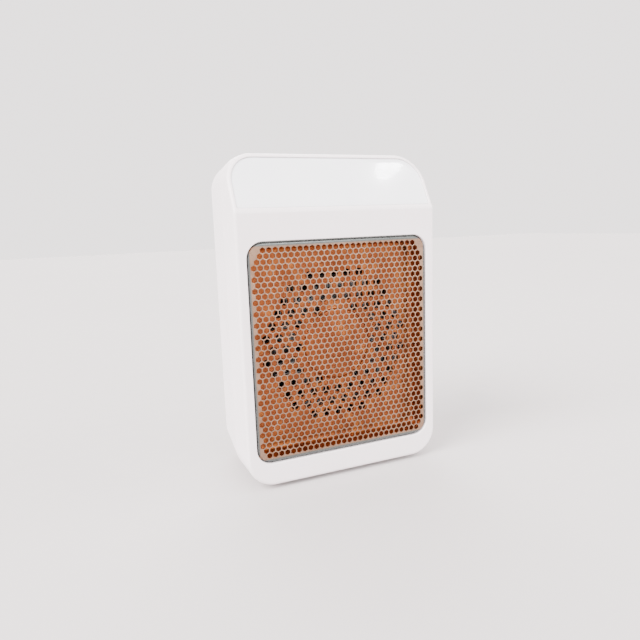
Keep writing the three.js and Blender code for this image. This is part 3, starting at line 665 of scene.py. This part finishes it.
def outlet_mesh():
    """A pressed sheet: a pan with a rounded shoulder, its flat face pierced by fine hexagons."""
    front, back = grille_low.y, grille_high.y
    width, height, radius = WINDOW_W - 2 * MESH_GAP, WINDOW_H - 2 * MESH_GAP, WINDOW_R - MESH_GAP
    outline = corner_loop(width, height, radius, WINDOW, steps=12)
    flange = corner_loop(WINDOW_W + 2 * FLANGE, WINDOW_H + 2 * FLANGE, WINDOW_R + FLANGE, WINDOW, steps=12)
    skin = Skin()

    def side(face, bend, inset, end):
        """Rings from the flat face over the shoulder and down the side."""
        rings = [skin.ring(placed(outline, face + drop, inset + over)) for drop, over in quarter(8, bend)]
        return rings + [skin.ring(placed(outline, end, inset))]

    outer = side(front, SHOULDER, 0, back - SHEET)
    outer.append(skin.ring(placed(flange, back - SHEET)))
    outer.append(skin.ring(placed(flange, back)))
    inner = side(front + SHEET, SHOULDER - SHEET, SHEET, back)
    skin.strips(outer)
    skin.strips(inner)
    skin.bridge(outer[-1], inner[-1])

    # the field of holes
    rise = CELL * math.sqrt(3) / 2
    corner = CELL / math.sqrt(3)
    margin = 2 * SHOULDER + 0.1
    flat_w, flat_h, flat_r = width - margin, height - margin, radius - SHOULDER

    def inside(x, z):
        """Whether a point lies on the sheet's flat face."""
        dx = abs(x) - (flat_w / 2 - flat_r)
        dz = abs(z - WINDOW) - (flat_h / 2 - flat_r)
        if dx > 0 and dz > 0:
            return math.hypot(dx, dz) <= flat_r
        return dx <= flat_r and dz <= flat_r

    spots = {}
    edges = {}

    def spot(x, z, y):
        """A cell's corner, made once for the cells that meet there."""
        key = (round(x * 20), round((z - WINDOW) * 20), y)
        if key not in spots:
            spots[key] = skin.ring([(x, y, z)])[0]
        return spots[key]

    def hexagon(x, z, half, y, shared=False):
        """A ring of six points. half is the distance from the centre to a side."""
        size = half * 2 / math.sqrt(3)
        tips = [(x + size * math.cos(a), z + size * math.sin(a)) for a in HEXAGON]
        return [spot(px, pz, y) if shared else skin.ring([(px, y, pz)])[0] for px, pz in tips]

    hole = (CELL - WIRE) / 2
    # (how much wider than the hole, how deep) from the front of the sheet to its back
    steps = ((HOLE_BEVEL, 0), (HOLE_BEVEL * 0.3, HOLE_BEVEL * 0.3), (0, HOLE_BEVEL), (0, SHEET))
    for row in range(MESH_ROWS):
        z = WINDOW + (row - (MESH_ROWS - 1) / 2) * rise
        for column in range(MESH_COLUMNS):
            x = (column - (MESH_COLUMNS - 1) / 2 + row % 2 / 2) * CELL
            if not all(inside(x + corner * math.cos(a), z + corner * math.sin(a)) for a in HEXAGON):
                continue
            cell = hexagon(x, z, CELL / 2, front, True)
            back_cell = hexagon(x, z, CELL / 2, front + SHEET, True)
            rings = [cell, *(hexagon(x, z, hole + wider, front + deeper) for wider, deeper in steps), back_cell]
            skin.strips(rings)
            # an edge that two cells share cancels out, which leaves the field's border
            for ring in (cell, back_cell):
                for a, b in zip(ring, ring[1:] + ring[:1]):
                    if (b, a) in edges:
                        del edges[(b, a)]
                    else:
                        edges[(a, b)] = True

    # the plain band between the border and the shoulder
    following = {a: b for a, b in edges}
    loops = []
    while following:
        start, here = next(iter(following.items()))
        loop = [start]
        del following[start]
        while here != start:
            loop.append(here)
            here = following.pop(here)
        loops.append(loop)
    for loop in loops:
        y = skin.points[loop[0]][1]
        skin.fill(outer[0] if abs(y - front) < 0.01 else inner[0], [loop])
    return skin


# ---- the tray behind the mesh ----
HUB_R, RING_R, TRAY_CELL, TRAY_HOLE = 17.6, 38.6, 6.9, 1.9
TRAY_SHEET, BOSS_RISE, DIMPLE = 1.2, 1.2, 0.85
MOUTH_INSET, MOUTH_R = 1.7, 6
FLOOR_INSET, FLOOR_R = 4, 4.5


def tray():
    """An orange pan with sloping walls, a ring of round holes and a raised round boss."""
    skin = Skin()
    rim_y, floor_y, thick = tray_low.y, tray_high.y - TRAY_SHEET, TRAY_SHEET

    def frame_loop(inset, radius):
        """A rounded rectangle inside the window's outline."""
        return corner_loop(WINDOW_W - 2 * inset, WINDOW_H - 2 * inset, radius, WINDOW, steps=10)

    lip = frame_loop(-FLANGE, WINDOW_R + FLANGE)
    mouth, floor = frame_loop(MOUTH_INSET, MOUTH_R), frame_loop(FLOOR_INSET, FLOOR_R)

    def curve(a, b, c, t):
        """The point at t on the arc from a to c that leans towards b."""
        return a * (1 - t) ** 2 + b * 2 * t * (1 - t) + c * t ** 2

    def wall(out, back, fillet):
        """Rings from the lip down the sloping wall to the floor, moved out and back by these distances."""
        lip_bend, upper, lower = 0.6, 0.12, 0.75
        top = [Vector(p) for p in placed(mouth, rim_y + back, -out)]
        foot = [Vector(p) for p in placed(floor, floor_y + back, -out)]
        inward = [Vector(p) for p in placed(floor, floor_y + back, -out + fillet)]
        outward = [Vector(p) for p in placed(mouth, rim_y + back, -out - lip_bend)]
        rings = []
        for k in range(5):
            rings.append([curve(o, a, a * (1 - upper) + b * upper, k / 4)
                          for o, a, b in zip(outward, top, foot)])
        for k in range(6):
            rings.append([curve(a * (1 - lower) + b * lower, b, i, k / 5)
                          for a, b, i in zip(top, foot, inward)])
        return [skin.ring(points) for points in rings]

    front = wall(0, 0, 1.8)
    back = wall(thick, thick, 1.2)
    lip_front = skin.ring(placed(lip, rim_y))
    lip_back = skin.ring(placed(lip, rim_y + thick))
    skin.strips([lip_front, *front])
    skin.strips([lip_back, *back])
    skin.bridge(lip_front, lip_back)

    boss_y = floor_y - BOSS_RISE
    boss = softened([(0, boss_y), (HUB_R, boss_y), (HUB_R + 0.8, floor_y), (HUB_R + 3, floor_y)], 0.9, 5)
    rings = [skin.ring(placed(round_loop(radius, 0, WINDOW, 72), y)) for radius, y in boss[1:-1]]
    skin.strips(rings)
    skin.fill(rings[0])
    back_boss = skin.ring(placed(round_loop(HUB_R, 0, WINDOW, 72), floor_y + thick))
    skin.fill(back_boss)

    skin.fill(front[-1], [rings[-1]])
    skin.fill(back[-1], [back_boss])

    # the ring of holes, each a little dished where it was punched
    rise = TRAY_CELL * math.sqrt(3) / 2
    holes = Skin()
    past = 0.5
    profile = [(0, floor_y - past), (TRAY_HOLE + DIMPLE, floor_y - past), (TRAY_HOLE + 0.1, floor_y + 0.1),
               (TRAY_HOLE, floor_y + 0.4), (TRAY_HOLE, floor_y + thick + past), (0, floor_y + thick + past)]
    for row in range(-6, 7):
        for column in range(-6, 7):
            x, z = (column + (row % 2) / 2) * TRAY_CELL, row * rise
            if HUB_R + TRAY_HOLE + 0.6 < math.hypot(x, z) < RING_R:
                holes.join(lathe(profile, x, WINDOW + z, 20))
    return cut(oriented(mesh_of(skin)), [oriented(mesh_of(holes))])


# ---- the rear casing ----
TAPER_X, TAPER_Z = 3.7, 1.5
INTAKE_R, INTAKE_PITCH, INTAKE_RIB, SLOT_HALF = 30.0, 4.4, 1.4, 1.1
TURRET_R, TURRET_CLEARANCE = 18.0, 0.3
SCREW_X, SCREW_TOP, SCREW_LOW = 38.0, 12.0, BOTTOM + 8
WELL_R, WELL_FLOOR, SCREW_HOLE_R, POST_R = 3.2, -24, 1.8, 4
BUMPER_X, BUMPER_Z, BUMPER_R, BUMPER_POCKET = 32.0, BOTTOM + 20.5, 5.0, 1
SWITCH_Y, SWITCH_Z = -21.0, -5.0


def rear_outline(y, inset=0.0):
    """The tapering rear casing's outline at a depth."""
    t = (y - SEAM - SEAM_GAP) / (BACK - SEAM - SEAM_GAP)
    loop = corner_loop(WIDTH - 2 * TAPER_X * t, HEIGHT - 2 * TAPER_Z * t, CORNER, MIDDLE, steps=16)
    return [(x - inset * nx, z - inset * nz, nx, nz) for x, z, nx, nz in loop]


def slot_loop(x0, x1, z, half):
    """A slot with round ends."""
    turns = [i / 8 * math.pi for i in range(9)]
    return ([on_circle(x1 - half, z, half, t - math.pi / 2) for t in turns]
            + [on_circle(x0 + half, z, half, t + math.pi / 2) for t in turns])


def rear_casing():
    """The rear shell: intake slots, the plug's round hole, four screw wells and two pockets for the pads."""
    skin = Skin()
    edge = BACK_EDGE
    start = SEAM + SEAM_GAP
    rings = [skin.ring(placed(rear_outline(start, 0.35), start)),
             skin.ring(placed(rear_outline(start, 0.1), start + 0.1)),
             skin.ring(placed(rear_outline(start), start + 0.35))]
    for y in (-30, -22, -14):
        rings.append(skin.ring(placed(rear_outline(y), y)))
    for k in range(9):
        t = k / 8 * math.pi / 2
        y = BACK - edge * (1 - math.sin(t))
        rings.append(skin.ring(placed(rear_outline(y, edge * (1 - math.cos(t))), y)))
    skin.strips(rings)
    inner = [skin.ring(placed(rear_outline(start, WALL), start)),
             skin.ring(placed(rear_outline(BACK - WALL - 2, WALL), BACK - WALL - 2)),
             skin.ring(placed(rear_outline(BACK - WALL, WALL + 2), BACK - WALL))]
    skin.strips(inner)
    skin.fill(rings[0], [inner[0]])

    outside_holes, inside_holes = [], []
    depth = BACK - WALL

    def through(loop, round_edge):
        """A hole right through the back wall."""
        hole = [skin.ring(placed(loop, BACK - drop, -over)) for drop, over in quarter(3, round_edge)]
        hole.append(skin.ring(placed(loop, depth)))
        skin.strips(hole)
        outside_holes.append(hole[0])
        inside_holes.append(hole[-1])

    for k in range(-6, 7):
        z = k * INTAKE_PITCH
        half = math.sqrt(INTAKE_R ** 2 - z * z)
        through(slot_loop(-half, -INTAKE_RIB, WINDOW + z, SLOT_HALF), 0.35)
        through(slot_loop(INTAKE_RIB, half, WINDOW + z, SLOT_HALF), 0.35)
    through(round_loop(TURRET_R + TURRET_CLEARANCE, 0, 0, 96), 0.6)
    for side in (-1, 1):
        for z in (SCREW_TOP, SCREW_LOW):
            well = [skin.ring(placed(round_loop(radius, side * SCREW_X, z, 32), y))
                    for radius, y in ((WELL_R + 0.4, BACK), (WELL_R + 0.12, BACK - 0.12), (WELL_R, BACK - 0.4),
                                      (WELL_R, WELL_FLOOR), (SCREW_HOLE_R, WELL_FLOOR), (SCREW_HOLE_R, start),
                                      (POST_R, start), (POST_R, depth))]
            skin.strips(well)
            outside_holes.append(well[0])
            inside_holes.append(well[-1])
        wide = BUMPER_R + 0.3
        dish = [skin.ring(placed(round_loop(radius, side * BUMPER_X, BUMPER_Z, 48), y))
                for radius, y in ((wide + 0.2, BACK), (wide, BACK - 0.2), (wide, BACK - BUMPER_POCKET))]
        skin.strips(dish)
        skin.fill(dish[-1])
        outside_holes.append(dish[0])
    skin.fill(rings[-1], outside_holes)
    skin.fill(inner[-1], inside_holes)
    return skin


def along_x(skin, x=0.0, y=0.0, z=0.0):
    """Turns a shape made about the Y axis so that its +Y points along +X, and moves it."""
    skin.points = [(py + x, px + y, pz + z) for px, py, pz in skin.points]
    return skin


# ---- the switch, which is drawn about the Y axis and then turned to face right ----
RIM_W, RIM_H, BARREL_W, BARREL_H, WELL_W, WELL_H = 11, 15, 9, 13, 7.4, 11.4
BARREL_X, FLANGE_X, RIM_X, ROCKER_WELL_X = 38, 49.6, 51.1, 44.5
ROCKER_X, ROCKER_TILT = 48, math.radians(-8)


def switch_hole(width, height, radius, x0, x1):
    """A block that cuts the casing for the switch."""
    block = slab(corner_loop(width, height, radius, steps=5), x0, x1)
    return oriented(mesh_of(along_x(block, 0, SWITCH_Y, SWITCH_Z)))


def switch_frame():
    """The rocker's frame: a rim with a well in it, on a barrel that goes through the casing."""
    rim = corner_loop(RIM_W, RIM_H, 1.2, steps=5)
    barrel = corner_loop(BARREL_W, BARREL_H, 0.6, steps=5)
    well = corner_loop(WELL_W, WELL_H, 0.7, steps=5)
    skin = Skin()
    outline = [skin.ring(placed(loop, x, inset)) for loop, x, inset in (
        (barrel, BARREL_X, 0), (barrel, FLANGE_X, 0), (rim, FLANGE_X, 0), (rim, RIM_X - 0.6, 0),
        (rim, RIM_X - 0.2, 0.18), (rim, RIM_X, 0.6), (well, RIM_X, -0.5), (well, RIM_X - 0.2, -0.12),
        (well, RIM_X - 0.6, 0), (well, ROCKER_WELL_X, 0))]
    skin.strips(outline)
    skin.fill(outline[0])
    skin.fill(outline[-1])
    return along_x(skin, 0, SWITCH_Y, SWITCH_Z)


def rocker():
    """A dished rocker; one half stands proud."""
    # (height, how far it stands out) round the rocker's side view
    profile = [(-5.1, 3.4), (-4.6, 3.45), (-2.4, 2.75), (0, 2.2), (2.4, 2.75), (4.6, 3.45), (5.1, 3.4),
               (5.1, 1), (2.5, -2.6), (-2.5, -2.6), (-5.1, 1)]
    profile = softened([*profile, profile[0]], 0.35, 3)[:-1]
    skin = Skin()
    rings = []
    for y, shrink in ((-3.4, 0.3), (-3.3, 0.1), (-3.1, 0), (3.1, 0), (3.3, 0.1), (3.4, 0.3)):
        k = 1 - shrink / 5
        rings.append(skin.ring([(u * k, y, z * k) for z, u in profile]))
    skin.strips(rings)
    skin.fill(rings[0])
    skin.fill(rings[-1])
    turn = Matrix.Rotation(ROCKER_TILT, 4, "Y")
    place = Vector((ROCKER_X, SWITCH_Y, SWITCH_Z))
    skin.points = [tuple(turn @ Vector(p) + place) for p in skin.points]
    return skin


# ---- the plug ----
BLADE_X, BLADE_T, BLADE_ROOT, BLADE_REACH = 6.35, 1.5, -10.2, 16.7
LIVE_H, NEUTRAL_H = 6.35, 7.94
EYE_Y, EYE_R = 11.9, 1.6


def plug_turret():
    """The round seat of the blades, with a flange inside the casing and a groove round its face."""
    flange_r, flange_y0, flange_y1 = 20.5, -7.6, -5.5
    groove = [(14.2, 0), (13.6, -0.5), (12.2, -0.5), (11.6, 0)]
    profile = softened([(0, flange_y0), (flange_r, flange_y0), (flange_r, flange_y1), (TURRET_R, flange_y1),
                        (TURRET_R, 0), *groove, (0, 0)], 0.7, 5)
    mesh = oriented(mesh_of(lathe(profile, sides=96)))
    cutters = []
    for side, height in ((1, LIVE_H), (-1, NEUTRAL_H)):
        loop = corner_loop(BLADE_T + 0.3, height + 0.3, 0.3, 0, side * BLADE_X, steps=3)
        cutters.append(oriented(mesh_of(slab(loop, -9, 1))))
    return cut(mesh, cutters)


def blade(side, height):
    """A flat blade with a chamfered nose and an eye, its edges rounded."""
    half, root, reach = height / 2, BLADE_ROOT, BLADE_REACH
    nose, chin = reach - 1.8, half - 1.5
    outline = softened([(root, 0), (root, -half), (nose, -half), (reach, -chin), (reach, chin), (nose, half),
                        (root, half), (root, 0)], 0.5, 3)[:-1]
    eye = [(y, z) for y, z, _, _ in round_loop(EYE_R, EYE_Y, 0, 32)]
    skin = Skin()
    x, thick, soft = side * BLADE_X, BLADE_T / 2, 0.22

    def layers(points, middle, grow_y, grow_z):
        """Rings through the thickness. At the two faces the rounded edge scales them about the middle."""
        rings = []
        for u, edge in ((-thick, soft), (-thick + soft * 0.3, soft * 0.3), (-thick + soft, 0),
                        (thick - soft, 0), (thick - soft * 0.3, soft * 0.3), (thick, soft)):
            wide, tall = 1 + edge * grow_y, 1 + edge * grow_z
            rings.append(skin.ring([(x + u, middle + (y - middle) * wide, z * tall) for y, z in points]))
        skin.strips(rings)
        return rings

    outside = layers(outline, 3, -1 / 13.4, -1 / half)
    inside = layers(eye, EYE_Y, 1 / EYE_R, 1 / EYE_R)
    skin.fill(outside[0], [inside[0]], (1, 2))
    skin.fill(outside[-1], [inside[-1]], (1, 2))
    return skin


# ---- pads and screws ----
def bumper(side):
    """A round rubber pad with a dished face."""
    radius, back, face, dish = BUMPER_R, -3.7, -0.4, -0.75
    profile = softened([(0, back), (radius, back), (radius, face - 0.8), (radius - 0.8, face), (2.2, face),
                        (1.9, dish), (0, dish)], 0.3, 4)
    return lathe(profile, side * BUMPER_X, BUMPER_Z, 48)


def housing_screw(x, z):
    """A pan-head screw with a cross recess."""
    tip, shank_r, seat, crown = -46, 1.4, -23.7, -22.2
    recess, recess_w, recess_floor = 3.0, 0.75, -23.4
    profile = softened([(0, tip), (0.8, tip + 0.6), (shank_r, tip + 1.4), (shank_r, seat), (2.8, seat),
                        (2.7, crown - 0.7), (1.9, crown - 0.1), (0, crown)], 0.3, 4)
    mesh = oriented(mesh_of(lathe(profile, x, z, 32)))
    cutters = []
    for width, height in ((recess_w, recess), (recess, recess_w)):
        loop = corner_loop(width, height, 0.15, z, x, steps=2)
        cutters.append(oriented(mesh_of(slab(loop, recess_floor, crown + 1.2))))
    return cut(mesh, cutters)


# ---- pieces ----
finished("casing_front", mesh_of(front_casing()), "white_shell", "housing", ["front_bezel"])
finished("panel_gloss", mesh_of(gloss_panel()), "white_gloss", "housing", ["control_panel"])
finished("outlet_mesh", mesh_of(outlet_mesh()), "satin_steel", "housing", ["grille_mesh"], sharp=38)
finished("tray_pan", tray(), "copper_tray", "housing", ["diffuser_tray"], facing=False)

switch_pocket = switch_hole(RIM_W + 0.6, RIM_H + 0.6, 1.5, FLANGE_X - 0.3, 58)
switch_bore = switch_hole(BARREL_W + 0.6, BARREL_H + 0.6, 0.9, 40, 50)
rear = cut(oriented(mesh_of(rear_casing())), [switch_pocket, switch_bore])
finished("casing_rear", rear, "white_shell", "housing", ["rear_housing"], facing=False)

finished("switch_bezel", mesh_of(switch_frame()), "black_plastic", "housing", ["switch_frame"])
finished("switch_key", mesh_of(rocker()), "black_plastic", "rocker", ["switch_rocker"])
finished("turret", plug_turret(), "white_shell", "plug", ["plug_turret"], facing=False)
finished("blade_live", mesh_of(blade(1, LIVE_H)), "blade_brass", "plug", ["plug_blade_live"])
finished("blade_neutral", mesh_of(blade(-1, NEUTRAL_H)), "blade_brass", "plug", ["plug_blade_neutral"])
finished("bumper_left", mesh_of(bumper(-1)), "rubber", "housing", ["wall_bumper_left"])
finished("bumper_right", mesh_of(bumper(1)), "rubber", "housing", ["wall_bumper_right"])
for number, (screw_x, screw_z) in enumerate(((-SCREW_X, SCREW_LOW), (SCREW_X, SCREW_LOW),
                                             (-SCREW_X, SCREW_TOP), (SCREW_X, SCREW_TOP)), 1):
    finished(f"screw_{number}", housing_screw(screw_x, screw_z), "steel", "housing",
             [f"housing_screw_{number}"], facing=False)


# ---- floor, world and lights ----
FLOOR_HALF, FLOOR_BELOW = 3.0, 0.002
WORLD_COLOR, WORLD_STRENGTH = (0.88, 0.83, 0.825), 3.0
AIM = Vector((0, -0.04, -0.05))

floor_mesh = bpy.data.meshes.new("floor")
reach, floor_z = FLOOR_HALF, cad_bounds[0].z - FLOOR_BELOW
floor_mesh.from_pydata([(-reach, -reach, floor_z), (reach, -reach, floor_z), (reach, reach, floor_z),
                        (-reach, reach, floor_z)], [], [(0, 1, 2, 3)])
floor_obj = bpy.data.objects.new("floor", floor_mesh)
floor_look = Shader("floor", (0.50, 0.475, 0.47), 0.9)
floor_look.vary((0.49, 0.465, 0.46), 400).rough(0.8, 0.95, 10)
floor_mesh.materials.append(floor_look.material)
bpy.context.scene.collection.objects.link(floor_obj)

world = bpy.data.worlds.new("studio")
bpy.context.scene.world = world
world.use_nodes = True
background = world.node_tree.nodes["Background"]
background.inputs["Color"].default_value = (*WORLD_COLOR, 1)
background.inputs["Strength"].default_value = WORLD_STRENGTH


def lamp(name, kind, place, power, color=(1, 1, 1)):
    """A lamp turned towards the heater."""
    data = bpy.data.lights.new(name, kind)
    data.energy = power
    data.color = color
    holder = bpy.data.objects.new(name, data)
    holder.location = place
    holder.rotation_euler = (AIM - Vector(place)).to_track_quat("-Z", "Y").to_euler()
    bpy.context.scene.collection.objects.link(holder)
    return data


lamp("left", "SUN", (-1.5, -0.5, 1.2), 11, (1, 0.97, 0.97)).angle = math.radians(40)
lamp("right", "SUN", (1.4, -0.5, 0.6), 3, (1, 0.97, 0.98)).angle = math.radians(50)
lamp("back", "SUN", (0.3, 1.2, 0.9), 3, (1, 0.98, 0.96)).angle = math.radians(40)
for name, place, power, size in (("glint", (0.49, -0.40, 0.72), 0.6, (0.07, 0.045)),
                                 ("front", (0.40, -1.2, 0.45), 8, (0.5, 0.2))):
    softbox = lamp(name, "AREA", place, power, (0.97, 0.98, 1))
    softbox.shape = "ELLIPSE"
    softbox.size, softbox.size_y = size
